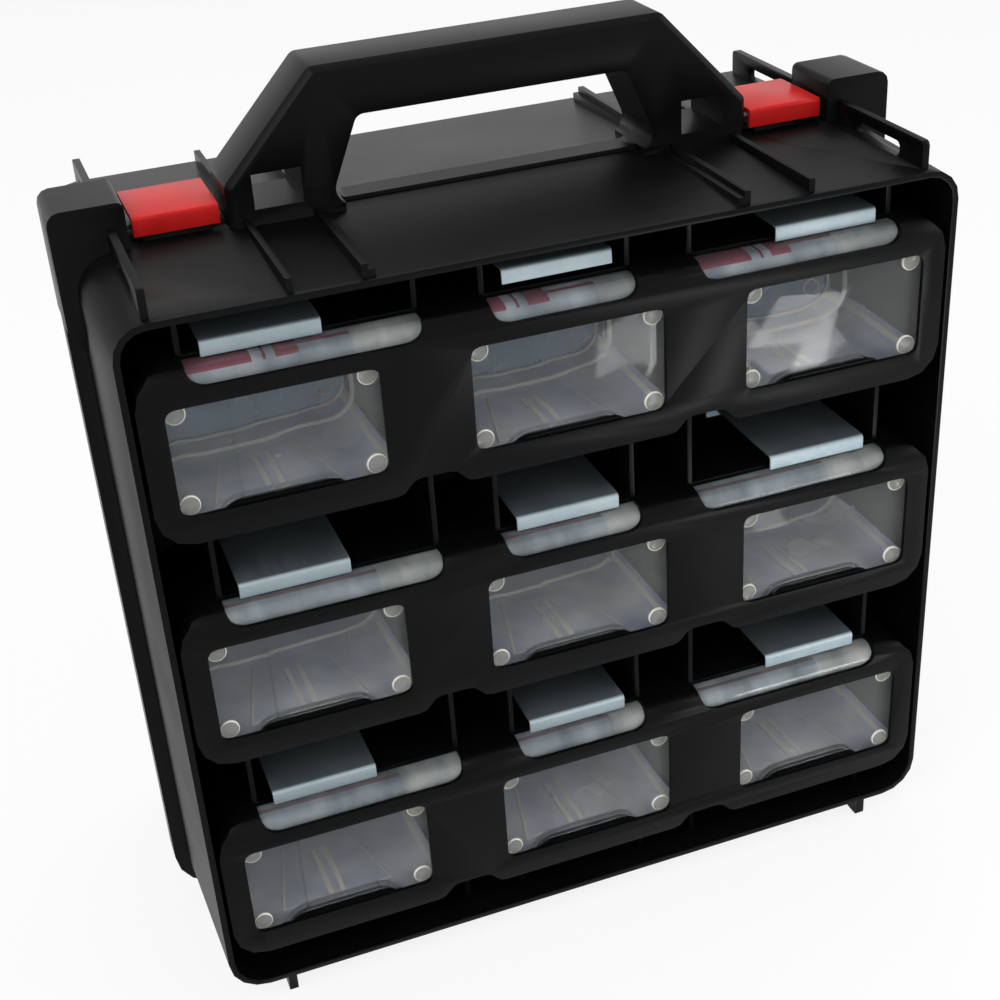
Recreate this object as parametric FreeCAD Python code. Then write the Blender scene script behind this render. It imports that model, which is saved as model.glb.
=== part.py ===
import FreeCAD, Part
import math
import os
from FreeCAD import Placement, Rotation, Vector

# Assortment case: two moulded halves hinged along the bottom, each with a grille of three rows,
# nine clear storage boxes behind the windows, a spring clip on every box, two latches and a
# two-part carrying handle. Millimetres. The case stands on its feet at z = 0, the halves meet
# in the plane y = 0 and the front windows face -y. A half is drawn as the front half; its depth
# is measured from the front rim as "deep". The rear half is the same moulding turned round z.

# Degrees of a rounded corner that one flat stretch takes, where a shape repeats over the case
FINE_STEP = 22.5
CORNER_STEP = 30.0
COARSE_STEP = 45.0
BOX_STEP = 90.0

# Grid of cells
COLUMN_PITCH = 133.0
ROW_PITCH = 119.0
MIDDLE_ROW_Z = 192.0
COLUMNS = (-1, 0, 1)
ROWS = (("top", 1), ("middle", 0), ("bottom", -1))

# Half shell
HALF_DEPTH = 98.0
SHELL_WALL = 3.0
DRAFT = 3.0
END_GAP = 2.0
TOP_MARGIN = 22.5
BOTTOM_MARGIN = 18.0
RIM_TOP_RADIUS = 15.5
RIM_BOTTOM_RADIUS = 19.0

# Flange round the split
FLANGE_DEPTH = 7.0
FLANGE_SIDE_STEP = 7.0
FLANGE_TOP_STEP = 1.8
FLANGE_BOTTOM_STEP = 2.2
FLANGE_RADIUS = 24.0

# Row duct: the band with its windows, its floor and its roof
DUCT_WALL = 2.2
DUCT_END_GAP = 24.0
BAND_END_RADIUS = 16.0
BAND_CURVE_START = 33.0
BAND_CURVE_RADIUS = 9.5
BAND_BOTTOM = 38.5
BAND_WAIST_RISE = 7.0
WAIST_FOOT = 52.0
WAIST_CREST = 56.0
WAIST_RADIUS = 6.8
WINDOW_WIDTH = 92.2
WINDOW_HEIGHT = 50.6
WINDOW_RADIUS = 4.0
NOTCH_DEPTH = 15.0
NOTCH_RADIUS = 7.0
NOTCH_HALF_WIDTH = 34.5
NOTCH_INNER_REACH = 68.0
STIFFENER_WALL = 2.4
BACK_PLATE = 2.2

# Storage box
BOX_WIDTH = 110.0
BOX_WALL = 1.5
BOX_CORNER_RADIUS = 14.0
BOX_EDGE_CHAMFER = 4.5
BOX_FRONT_GAP = 2.3
BOX_CLEARANCE = 0.3
DIVIDER_WALL = 1.4
DIVIDER_SPACING = 37.0
DIVIDER_HEIGHT = 45.0

# Lid of a box
LID_PLATE = 2.0
LID_END_GAP = 3.0
LID_OVERHANG = 1.6
LID_PLUG_DEPTH = 1.5
LID_PLUG_CLEARANCE = 0.25
LID_TAB_WIDTH = 24.0
LID_TAB_REACH = 3.0

# Label rail inside the curved top of a band
RAIL_THICKNESS = 1.2
RAIL_GAP = 0.1
RAIL_LEG = 4.0

# Spring clip on a box
CLIP_WIDTH = 52.0
CLIP_SHEET = 1.0
CLIP_FRONT = 11.5
CLIP_HEIGHT = 6.0
CLIP_LIP_GAP = 0.8
CLIP_BEND_RADIUS = 2.0
CLIP_PIVOT_FROM_LID = 11.0
CLIP_BAR_RADIUS = 1.5
CLIP_BAR_SIDES = 6
CLIP_RUNNING_FIT = 0.06
CLIP_SIDE_GAP = 0.5
CLIP_EAR_WALL = 3.0
CLIP_EAR_MARGIN = 1.3
CLIP_PASSAGE_GAP = 1.5
RAISED_CLIP = ("top", 0)
RAISED_CLIP_ANGLE = 4.5

# Ribs, fins, feet and corner blocks
RIB_HEIGHT = 6.3
RIB_THICKNESS = 3.0
RIB_START = 3.0
TALL_RIB_FROM_LEG = 39.5
SHORT_RIB_FROM_LEG = 7.5
RIB_STEP_HEIGHT = 3.6
FIN_FROM_BLOCK = 7.3
FIN_THICKNESS = 3.5
FIN_HEIGHT = 13.0
FIN_START = 4.5
FIN_SLOT_START = 23.5
FIN_SLOT_END = 62.0
FIN_SLOT_HEIGHT = 7.0
FIN_SLOT_RADIUS = 3.0
FIN_CORNER_RADIUS = 2.5
FOOT_X = 165.0
FOOT_THICKNESS = 4.5
FOOT_HEIGHT = 13.5
FOOT_START = 3.5
FOOT_END = 53.0
FOOT_CORNER_RADIUS = 2.0
BLOCK_WIDTH = 33.5
BLOCK_HEIGHT = 24.0
BLOCK_THICKNESS = 18.0
BLOCK_DROP = 31.0
BLOCK_TAPER = 11.0
BLOCK_RADIUS = 6.0

# Carrying handle
HANDLE_THICKNESS = 18.0
HANDLE_RISE = 68.5
HANDLE_SHOULDER_RISE = 22.0
HANDLE_SHOULDER_RUN = 43.7
GRIP_HEIGHT = 23.5
GRIP_TOP_FROM_CROWN = 18.8
GRIP_BOTTOM_FROM_LEG = 45.5
GRIP_TOP_RADIUS = 5.0
GRIP_BOTTOM_RADIUS = 8.0
HANDLE_CORNER_RADIUS = 5.0
HANDLE_EDGE_CHAMFER = 2.8
LEG_HOLE_FROM_LEG = 23.3
LEG_HOLE_WIDTH = 22.5
LEG_HOLE_HEIGHT = 16.0
LEG_HOLE_RISE = 10.0

# Latches
LATCH_WIDTH = 38.5
LATCH_BLOCK_GAP = 2.55
LATCH_LEG_GAP = 3.45
LATCH_RISE = 15.0
LATCH_SHEET = 2.5
LATCH_FRONT = 15.0
LATCH_REAR = 26.0
LATCH_LIP_HEIGHT = 9.0
LATCH_CORNER_RADIUS = 1.8
LATCH_PIVOT_Y = 20.0
LATCH_PIVOT_RISE = 9.0
LATCH_PIN_RADIUS = 2.0
LATCH_RUNNING_FIT = 0.05
LATCH_EAR_RADIUS = 3.0
LATCH_EAR_WALL = 3.0
LATCH_EAR_SPAN = 32.0
LATCH_LUG_WALL = 3.0
LATCH_LUG_GAP = 1.0
LATCH_LUG_RADIUS = 3.0
CATCH_CLEARANCE = 0.4
CATCH_LENGTH = 4.0
CATCH_WIDTH = 30.0

# Hinge along the bottom
HINGE_Z = 6.0
HINGE_RADIUS = 4.3
HINGE_PIN_RADIUS = 2.0
HINGE_RUNNING_FIT = 0.05
HINGE_ROOM = 0.5
KNUCKLE_WIDTH = 14.0
KNUCKLE_GAP = 0.3
HINGE_POSITIONS = (-120.0, 120.0)
ROUND_SIDES = 8

# Sizes worked out from the driving dimensions
OVERLAP = 1.0
DUCT_HALF_WIDTH = COLUMN_PITCH + BOX_WIDTH / 2 + BOX_CLEARANCE + DUCT_WALL
RIM_HALF_WIDTH = DUCT_HALF_WIDTH + END_GAP + SHELL_WALL
BAND_TOP = BAND_CURVE_START + BAND_CURVE_RADIUS
RIM_TOP_Z = MIDDLE_ROW_Z + ROW_PITCH + BAND_TOP + TOP_MARGIN
RIM_BOTTOM_Z = MIDDLE_ROW_Z - ROW_PITCH - BAND_BOTTOM - BOTTOM_MARGIN - SHELL_WALL
FLANGE_HALF_WIDTH = RIM_HALF_WIDTH + DRAFT + FLANGE_SIDE_STEP
FLANGE_TOP_Z = RIM_TOP_Z + DRAFT + FLANGE_TOP_STEP
FLANGE_BOTTOM_Z = RIM_BOTTOM_Z - DRAFT - FLANGE_BOTTOM_STEP
DUCT_DEPTH = HALF_DEPTH - DUCT_END_GAP
BOX_BOTTOM = -BAND_BOTTOM + DUCT_WALL + BOX_CLEARANCE
BOX_TOP = BAND_TOP - DUCT_WALL - RAIL_GAP - RAIL_THICKNESS - BOX_CLEARANCE
BOX_FRONT = DUCT_WALL + BOX_FRONT_GAP
BOX_BACK = HALF_DEPTH - LID_END_GAP - LID_PLATE
CLIP_PIVOT_DEPTH = BOX_BACK - CLIP_PIVOT_FROM_LID
CLIP_PLATE_TOP = BAND_TOP + CLIP_HEIGHT
CLIP_HOOK_INNER = CLIP_BAR_RADIUS + CLIP_RUNNING_FIT
CLIP_HOOK_OUTER = CLIP_HOOK_INNER + CLIP_SHEET
CLIP_PIVOT_HEIGHT = CLIP_PLATE_TOP - CLIP_HOOK_OUTER
CLIP_EAR_SPAN = CLIP_WIDTH + 2 * CLIP_SIDE_GAP
CLIP_EAR_REACH = CLIP_BAR_RADIUS + CLIP_EAR_MARGIN
WAIST_SLOPE = math.atan2(BAND_WAIST_RISE, WAIST_CREST - WAIST_FOOT)
BLOCK_INNER_X = FLANGE_HALF_WIDTH - BLOCK_WIDTH
FIN_X = BLOCK_INNER_X + FIN_FROM_BLOCK
LATCH_X = BLOCK_INNER_X - LATCH_BLOCK_GAP - LATCH_WIDTH / 2
LATCH_TOP_Z = RIM_TOP_Z + LATCH_RISE
LATCH_PIVOT_Z = RIM_TOP_Z + LATCH_PIVOT_RISE
HANDLE_HALF_WIDTH = LATCH_X - LATCH_WIDTH / 2 - LATCH_LEG_GAP
HANDLE_CROWN_HALF_WIDTH = HANDLE_HALF_WIDTH - HANDLE_SHOULDER_RUN
HANDLE_SHOULDER_Z = RIM_TOP_Z + HANDLE_SHOULDER_RISE
HANDLE_TOP = RIM_TOP_Z + HANDLE_RISE
GRIP_TOP_HALF_WIDTH = HANDLE_CROWN_HALF_WIDTH - GRIP_TOP_FROM_CROWN
GRIP_BOTTOM_HALF_WIDTH = HANDLE_HALF_WIDTH - GRIP_BOTTOM_FROM_LEG
LEG_HOLE_X = HANDLE_HALF_WIDTH - LEG_HOLE_FROM_LEG
LEG_HOLE_BOTTOM = RIM_TOP_Z + LEG_HOLE_RISE
TALL_RIB_X = HANDLE_HALF_WIDTH - TALL_RIB_FROM_LEG
SHORT_RIB_X = HANDLE_HALF_WIDTH - SHORT_RIB_FROM_LEG


def block(low, high):
    """Box between two opposite corners."""
    size = [high[i] - low[i] for i in range(3)]
    return Part.makeBox(size[0], size[1], size[2], Vector(*low))


def x_cylinder(radius, x_from, x_to, y, z):
    """Cylinder along x."""
    return Part.makeCylinder(radius, x_to - x_from, Vector(x_from, y, z), Vector(1, 0, 0))


def fuse_all(shapes):
    """One solid from several that touch."""
    joined = shapes[0].multiFuse(shapes[1:])
    return joined.removeSplitter()


def rounded_polygon(points, radii, step=0):
    """Closed list of edges through 2-D points, each corner rounded by its own radius.

    A rounded corner is one arc, or flat stretches that each turn by about step degrees. The step
    is one number, or a list with one for each corner.
    """
    steps = step if isinstance(step, list) else [step] * len(points)
    corners = []
    for i, (px, py) in enumerate(points):
        ax, ay = points[i - 1]
        bx, by = points[(i + 1) % len(points)]
        if not radii[i]:
            corners.append([(px, py)])
            continue
        before = math.hypot(ax - px, ay - py)
        after = math.hypot(bx - px, by - py)
        ua = ((ax - px) / before, (ay - py) / before)
        ub = ((bx - px) / after, (by - py) / after)
        half = math.acos(ua[0] * ub[0] + ua[1] * ub[1]) / 2
        reach = radii[i] / math.tan(half)
        bis = math.hypot(ua[0] + ub[0], ua[1] + ub[1])
        away = radii[i] / math.sin(half) / bis
        cx = px + (ua[0] + ub[0]) * away
        cy = py + (ua[1] + ub[1]) * away
        begin = math.atan2(py + ua[1] * reach - cy, px + ua[0] * reach - cx)
        turn = math.pi - 2 * half
        if ua[0] * ub[1] - ua[1] * ub[0] > 0:
            turn = -turn
        parts = max(1, round(abs(math.degrees(turn)) / steps[i])) if steps[i] else 2
        corners.append([(cx + radii[i] * math.cos(begin + turn * k / parts),
                         cy + radii[i] * math.sin(begin + turn * k / parts))
                        for k in range(parts + 1)])
    pieces = []
    for i, corner in enumerate(corners):
        if radii[i] and not steps[i]:
            pieces.append(("arc", *corner))
        else:
            pieces += [("line", a, b) for a, b in zip(corner, corner[1:])]
        pieces.append(("line", corner[-1], corners[(i + 1) % len(corners)][0]))
    return pieces


def wire_from(pieces, place):
    """Wire from 2-D pieces; place turns a 2-D point into a point in space."""
    edges = []
    for piece in pieces:
        points = [place(*p) for p in piece[1:]]
        if piece[0] == "arc":
            edges.append(Part.Arc(*points).toShape())
        elif points[0].distanceToPoint(points[1]) > 1e-6:
            edges.append(Part.LineSegment(*points).toShape())
    return Part.Wire(Part.__sortEdges__(edges))


def prism_along_y(pieces, y_from, y_to):
    """Solid with a front-view outline (x, z) between two depths."""
    face = Part.Face(wire_from(pieces, lambda x, z: Vector(x, y_from, z)))
    return face.extrude(Vector(0, y_to - y_from, 0))


def prism_along_x(pieces, x_from, x_to):
    """Solid with a side-view outline (y, z) between two places along x."""
    face = Part.Face(wire_from(pieces, lambda y, z: Vector(x_from, y, z)))
    return face.extrude(Vector(x_to - x_from, 0, 0))


def rectangle(x_low, x_high, z_low, z_high, radii, step=0):
    """Rounded rectangle; radii run from the lower left corner against the clock."""
    corners = [(x_low, z_low), (x_high, z_low), (x_high, z_high), (x_low, z_high)]
    return rounded_polygon(corners, radii, step)


def regular_polygon(u, v, radius, sides):
    """Corners of a regular polygon on a circle, with a flat side down."""
    turn = 2 * math.pi / sides
    return [(u + radius * math.cos(turn * (i + 0.5) - math.pi / 2),
             v + radius * math.sin(turn * (i + 0.5) - math.pi / 2)) for i in range(sides)]


def x_bar(radius, x_from, x_to, y, z, sides):
    """Many-sided bar along x whose corners lie on a circle."""
    points = regular_polygon(y, z, radius, sides)
    return prism_along_x(rounded_polygon(points, [0] * sides), x_from, x_to)


def x_bore(radius, x_from, x_to, y, z, sides):
    """Many-sided cutter along x that clears a circle."""
    return x_bar(radius / math.cos(math.pi / sides), x_from, x_to, y, z, sides)


def drafted(pieces_front, pieces_back, y_front, y_back):
    """Solid between two outlines of straight pieces at two depths, with flat faces."""
    front = [Vector(piece[1][0], y_front, piece[1][1]) for piece in pieces_front]
    back = [Vector(piece[1][0], y_back, piece[1][1]) for piece in pieces_back]
    loops = [front, back]
    for i in range(len(front)):
        loops.append([front[i - 1], front[i], back[i], back[i - 1]])
    faces = [Part.Face(Part.makePolygon(loop + loop[:1])) for loop in loops]
    return Part.makeSolid(Part.makeShell(faces))


def deep(depth):
    """y of a depth measured from the front rim of the front half."""
    return depth - HALF_DEPTH


def cell_centre(column, row):
    """x and z of the centre of a window."""
    return column * COLUMN_PITCH, MIDDLE_ROW_Z + row * ROW_PITCH


def rim_outline(inset, grow):
    """Outline of the half shell, inset from the rim and grown by the draft."""
    side = RIM_HALF_WIDTH - inset + grow
    low = RIM_BOTTOM_Z + inset - grow
    high = RIM_TOP_Z - inset + grow
    bottom = RIM_BOTTOM_RADIUS - inset + grow
    top = RIM_TOP_RADIUS - inset + grow
    return rectangle(-side, side, low, high, [bottom, bottom, top, top], FINE_STEP)


def tray():
    """Drafted wall of a half with its flange at the split, open at both ends."""
    flange_front = deep(HALF_DEPTH - FLANGE_DEPTH)
    outer = drafted(rim_outline(0, 0), rim_outline(0, DRAFT), deep(0), flange_front)
    flange = prism_along_y(rectangle(-FLANGE_HALF_WIDTH, FLANGE_HALF_WIDTH, FLANGE_BOTTOM_Z,
                                     FLANGE_TOP_Z, [FLANGE_RADIUS] * 4, FINE_STEP),
                           flange_front, 0)
    reach = DRAFT / (HALF_DEPTH - FLANGE_DEPTH) * OVERLAP
    inner = drafted(rim_outline(SHELL_WALL, -reach),
                    rim_outline(SHELL_WALL, DRAFT + reach * FLANGE_DEPTH / OVERLAP + reach),
                    deep(-OVERLAP), OVERLAP)
    return outer.fuse(flange).removeSplitter(), inner


def band_outline(inset, z, step):
    """Front outline of a row: rounded ends, and a waist under each gap between columns."""
    side = DUCT_HALF_WIDTH - inset
    low = z - BAND_BOTTOM + inset
    high = z + BAND_TOP - inset
    waist = low + BAND_WAIST_RISE
    end = BAND_END_RADIUS - inset
    foot = COLUMN_PITCH / 2 - WAIST_FOOT + inset * math.tan(WAIST_SLOPE / 2)
    crest = foot - (WAIST_CREST - WAIST_FOOT)
    points = [(-side, low)]
    radii = [end]
    for gap in (-0.5, 0.5):
        middle = gap * COLUMN_PITCH
        points += [(middle - foot, low), (middle - crest, waist),
                   (middle + crest, waist), (middle + foot, low)]
        radii += [WAIST_RADIUS - inset, WAIST_RADIUS + inset, WAIST_RADIUS + inset,
                  WAIST_RADIUS - inset]
    points += [(side, low), (side, high), (-side, high)]
    radii += [end] * 3
    return rounded_polygon(points, radii, step)


def band_section(inset, z, back, step):
    """Side outline of a row: flat face, then a curve back into the roof."""
    front = deep(inset)
    low = z - BAND_BOTTOM - OVERLAP
    high = z + BAND_TOP - inset
    points = [(front, low), (back, low), (back, high), (front, high)]
    return rounded_polygon(points, [0, 0, 0, BAND_CURVE_RADIUS - inset], step)


def row_duct(z, inset, back, step):
    """Body of one row's duct, or of its inside when it is inset by the wall."""
    across = DUCT_HALF_WIDTH + OVERLAP
    outline = prism_along_y(band_outline(inset, z, step), deep(inset), back)
    section = prism_along_x(band_section(inset, z, back + OVERLAP, step), -across, across)
    return outline.common(section)


def notch_range(column):
    """x range of the notch over a window: wide towards the middle on the outer columns."""
    x = column * COLUMN_PITCH
    if column == 0:
        return x - NOTCH_HALF_WIDTH, x + NOTCH_HALF_WIDTH
    inner = x - column * NOTCH_INNER_REACH
    outer = x + column * NOTCH_HALF_WIDTH
    return min(inner, outer), max(inner, outer)


def notch(column, z):
    """Cutter for the notch in the top of a band."""
    low, high = notch_range(column)
    bottom = z + BAND_CURVE_START
    top = z + BAND_TOP + OVERLAP
    outline = rectangle(low, high, bottom, top, [NOTCH_RADIUS, NOTCH_RADIUS, 0, 0], COARSE_STEP)
    return prism_along_y(outline, deep(-OVERLAP), deep(NOTCH_DEPTH))


def window(column, z):
    """Cutter for a window."""
    x = column * COLUMN_PITCH
    outline = rectangle(x - WINDOW_WIDTH / 2, x + WINDOW_WIDTH / 2, z - WINDOW_HEIGHT / 2,
                        z + WINDOW_HEIGHT / 2, [WINDOW_RADIUS] * 4, COARSE_STEP)
    return prism_along_y(outline, deep(-OVERLAP), deep(DUCT_WALL + OVERLAP))


def clip_passage(column, z):
    """Cutter for the opening in the back plate that a box's clip passes through."""
    x = column * COLUMN_PITCH
    side = CLIP_EAR_SPAN / 2 + CLIP_EAR_WALL + CLIP_PASSAGE_GAP
    low = (x - side, deep(DUCT_DEPTH - BACK_PLATE) - OVERLAP, z + BAND_TOP)
    high = (x + side, deep(DUCT_DEPTH) + OVERLAP, z + CLIP_PLATE_TOP + CLIP_PASSAGE_GAP)
    return block(low, high)


def grille():
    """Bands, ducts, stiffening walls and back plate inside a half."""
    back = deep(DUCT_DEPTH)
    rows = [cell_centre(0, row)[1] for _, row in ROWS]
    solids = [row_duct(z, 0, back, CORNER_STEP) for z in rows]
    share = DUCT_DEPTH / (HALF_DEPTH - FLANGE_DEPTH)
    plate = prism_along_y(rim_outline(SHELL_WALL / 2, DRAFT * share),
                          back - BACK_PLATE, back)
    solids.append(plate)
    wall_places = set()
    for column in COLUMNS:
        wall_places.update(notch_range(column))
    for x in sorted(wall_places):
        solids.append(block((x - STIFFENER_WALL / 2, deep(NOTCH_DEPTH), RIM_BOTTOM_Z + SHELL_WALL / 2),
                            (x + STIFFENER_WALL / 2, back, RIM_TOP_Z - SHELL_WALL / 2)))
    cutters = []
    for z in rows:
        cutters.append(row_duct(z, DUCT_WALL, back + OVERLAP, COARSE_STEP))
        for column in COLUMNS:
            cutters.append(window(column, z))
            cutters.append(notch(column, z))
            cutters.append(clip_passage(column, z))
    body = fuse_all(solids).cut(cutters)
    dividers = []
    for z in rows:
        for gap in (-0.5, 0.5):
            x = gap * COLUMN_PITCH
            dividers.append(block((x - STIFFENER_WALL / 2, deep(NOTCH_DEPTH + RAIL_LEG + OVERLAP),
                                   z - BAND_BOTTOM + BAND_WAIST_RISE + DUCT_WALL / 2),
                                  (x + STIFFENER_WALL / 2, back, z + BAND_TOP - DUCT_WALL / 2)))
    return body, dividers


def top_surface(depth):
    """z of the drafted top wall at a depth."""
    return RIM_TOP_Z + DRAFT * depth / (HALF_DEPTH - FLANGE_DEPTH)


def ribs():
    """Ribs on the top wall, running back to the handle."""
    end = deep(HALF_DEPTH - HANDLE_THICKNESS / 2)
    low = RIM_TOP_Z - SHELL_WALL / 2
    high = RIM_TOP_Z + RIB_HEIGHT
    step = RIM_TOP_Z + RIB_STEP_HEIGHT
    half = RIB_THICKNESS / 2
    solids = []
    for side in (-1, 1):
        for x in (side * TALL_RIB_X, side * SHORT_RIB_X):
            solids.append(block((x - half, deep(RIB_START), low), (x + half, end, high)))
        inner = side * (TALL_RIB_X - RIB_THICKNESS)
        solids.append(block((inner - half, deep(RIB_START), low), (inner + half, end, step)))
    return solids


def fins():
    """Slotted upright fins near both ends of the top wall."""
    solids = []
    low = RIM_TOP_Z - SHELL_WALL / 2
    high = RIM_TOP_Z + FIN_HEIGHT
    outline = [(deep(FIN_START), low), (deep(HALF_DEPTH - BLOCK_THICKNESS / 2), low),
               (deep(HALF_DEPTH - BLOCK_THICKNESS / 2), high), (deep(FIN_START), high)]
    slot_low = top_surface(FIN_SLOT_START)
    slot = [(deep(FIN_SLOT_START), slot_low), (deep(FIN_SLOT_END), slot_low),
            (deep(FIN_SLOT_END), slot_low + FIN_SLOT_HEIGHT),
            (deep(FIN_SLOT_START), slot_low + FIN_SLOT_HEIGHT)]
    half = FIN_THICKNESS / 2
    for side in (-1, 1):
        x = side * FIN_X
        fin = prism_along_x(rounded_polygon(outline, [0, 0, 0, FIN_CORNER_RADIUS], CORNER_STEP),
                            x - half, x + half)
        hole = prism_along_x(rounded_polygon(slot, [FIN_SLOT_RADIUS] * 4, CORNER_STEP),
                             x - FIN_THICKNESS, x + FIN_THICKNESS)
        solids.append(fin.cut(hole))
    return solids


def feet():
    """Foot fins under the bottom wall."""
    top = RIM_BOTTOM_Z + SHELL_WALL / 2
    low = RIM_BOTTOM_Z - FOOT_HEIGHT
    outline = [(deep(FOOT_START), low), (deep(FOOT_END), low), (deep(FOOT_END), top),
               (deep(FOOT_START), top)]
    half = FOOT_THICKNESS / 2
    radii = [FOOT_CORNER_RADIUS, FOOT_CORNER_RADIUS, 0, 0]
    profile = rounded_polygon(outline, radii, CORNER_STEP)
    return [prism_along_x(profile, side * FOOT_X - half, side * FOOT_X + half) for side in (-1, 1)]


def corner_blocks():
    """Blocks over the outer top corners, beside the latches."""
    solids = []
    top = RIM_TOP_Z + BLOCK_HEIGHT
    for side in (-1, 1):
        outline = [(side * BLOCK_INNER_X, RIM_TOP_Z), (side * BLOCK_INNER_X, top),
                   (side * FLANGE_HALF_WIDTH, top),
                   (side * FLANGE_HALF_WIDTH, RIM_TOP_Z - BLOCK_DROP),
                   (side * (FLANGE_HALF_WIDTH - FLANGE_SIDE_STEP), RIM_TOP_Z - BLOCK_DROP - BLOCK_TAPER),
                   (side * (RIM_HALF_WIDTH - SHELL_WALL / 2), RIM_TOP_Z - BLOCK_DROP)]
        radii = [0, BLOCK_RADIUS / 2, BLOCK_RADIUS, 0, 0, 0]
        solids.append(prism_along_y(rounded_polygon(outline, radii, CORNER_STEP), -BLOCK_THICKNESS, 0))
    return solids


def handle_half():
    """Half of the carrying handle, with its grip opening and a square hole in each leg."""
    foot = RIM_TOP_Z - SHELL_WALL / 2
    outline = [(-HANDLE_HALF_WIDTH, foot), (HANDLE_HALF_WIDTH, foot),
               (HANDLE_HALF_WIDTH, HANDLE_SHOULDER_Z), (HANDLE_CROWN_HALF_WIDTH, HANDLE_TOP),
               (-HANDLE_CROWN_HALF_WIDTH, HANDLE_TOP), (-HANDLE_HALF_WIDTH, HANDLE_SHOULDER_Z)]
    corner = HANDLE_CORNER_RADIUS
    body = prism_along_y(rounded_polygon(outline, [0, 0, corner, corner, corner, corner]),
                         -HANDLE_THICKNESS, 0)
    soft = [edge for edge in body.Edges
            if all(abs(v.Point.y + HANDLE_THICKNESS) < 1e-6 for v in edge.Vertexes)
            and edge.CenterOfMass.z > foot + OVERLAP]
    body = body.makeChamfer(HANDLE_EDGE_CHAMFER, soft)
    grip_top = HANDLE_TOP - GRIP_HEIGHT
    grip = [(-GRIP_BOTTOM_HALF_WIDTH, FLANGE_TOP_Z), (GRIP_BOTTOM_HALF_WIDTH, FLANGE_TOP_Z),
            (GRIP_TOP_HALF_WIDTH, grip_top), (-GRIP_TOP_HALF_WIDTH, grip_top)]
    grip_radii = [GRIP_BOTTOM_RADIUS, GRIP_BOTTOM_RADIUS, GRIP_TOP_RADIUS, GRIP_TOP_RADIUS]
    cutters = [prism_along_y(rounded_polygon(grip, grip_radii), -HANDLE_THICKNESS - OVERLAP, OVERLAP)]
    half = LEG_HOLE_WIDTH / 2
    for side in (-1, 1):
        x = side * LEG_HOLE_X
        cutters.append(block((x - half, -HANDLE_THICKNESS - OVERLAP, LEG_HOLE_BOTTOM),
                             (x + half, OVERLAP, LEG_HOLE_BOTTOM + LEG_HOLE_HEIGHT)))
    below = block((-GRIP_BOTTOM_HALF_WIDTH + GRIP_BOTTOM_RADIUS, -HANDLE_THICKNESS - OVERLAP, foot),
                  (GRIP_BOTTOM_HALF_WIDTH - GRIP_BOTTOM_RADIUS, -FLANGE_DEPTH, FLANGE_TOP_Z + OVERLAP))
    return body.cut(cutters + [below])


def common_half():
    """What both halves have, drawn as the front half."""
    outer, hollow = tray()
    grille_body, dividers = grille()
    handle = handle_half().cut(block((-HANDLE_HALF_WIDTH, -HANDLE_THICKNESS - OVERLAP, 0),
                                     (HANDLE_HALF_WIDTH, OVERLAP, RIM_TOP_Z - SHELL_WALL / 2)))
    outside = fuse_all([outer] + ribs() + fins() + feet() + corner_blocks() + [handle])
    return fuse_all([outside.cut(hollow), grille_body] + dividers)


def knuckle_spans(own):
    """x ranges of the hinge knuckles: the front half has the middle one of each group."""
    spans = []
    for x in HINGE_POSITIONS:
        if own == "front":
            spans.append((x - KNUCKLE_WIDTH / 2, x + KNUCKLE_WIDTH / 2))
        else:
            inner = KNUCKLE_WIDTH / 2 + KNUCKLE_GAP
            spans.append((x - inner - KNUCKLE_WIDTH, x - inner))
            spans.append((x + inner, x + inner + KNUCKLE_WIDTH))
    return spans


def add_hinge(half, own, other, side):
    """Knuckles of one half, with room cut for those of the other; side is its sign in y."""
    room = HINGE_RADIUS + HINGE_ROOM
    for low, high in knuckle_spans(other):
        half = half.cut(x_bore(room, low - KNUCKLE_GAP, high + KNUCKLE_GAP, 0, HINGE_Z, ROUND_SIDES))
    knuckles = []
    for low, high in knuckle_spans(own):
        knuckles.append(x_bar(HINGE_RADIUS, low, high, 0, HINGE_Z, ROUND_SIDES))
        near, far = sorted((0, side * FLANGE_DEPTH))
        knuckles.append(block((low, near, HINGE_Z), (high, far, FLANGE_BOTTOM_Z + SHELL_WALL)))
    half = fuse_all([half] + knuckles)
    bores = [x_bore(HINGE_PIN_RADIUS + HINGE_RUNNING_FIT, low - OVERLAP, high + OVERLAP, 0, HINGE_Z,
                    ROUND_SIDES)
             for low, high in knuckle_spans(own)]
    return half.cut(bores)


def front_shell(common):
    """Front half: the common moulding, the middle knuckles and a catch under each latch."""
    catches = []
    top = FLANGE_TOP_Z + (LATCH_TOP_Z - LATCH_LIP_HEIGHT - CATCH_CLEARANCE - FLANGE_TOP_Z)
    hook = -(LATCH_FRONT - LATCH_SHEET) + CATCH_CLEARANCE
    for side in (-1, 1):
        x = side * LATCH_X
        catches.append(block((x - CATCH_WIDTH / 2, hook, RIM_TOP_Z),
                             (x + CATCH_WIDTH / 2, hook + CATCH_LENGTH + FLANGE_DEPTH, top)))
    clear = block((-FLANGE_HALF_WIDTH, 0, 0), (FLANGE_HALF_WIDTH, HALF_DEPTH, HANDLE_TOP))
    hollow = tray()[1]
    catch_bodies = [catch.cut([clear, hollow]) for catch in catches]
    return add_hinge(fuse_all([common] + catch_bodies), "front", "rear", -1)


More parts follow.
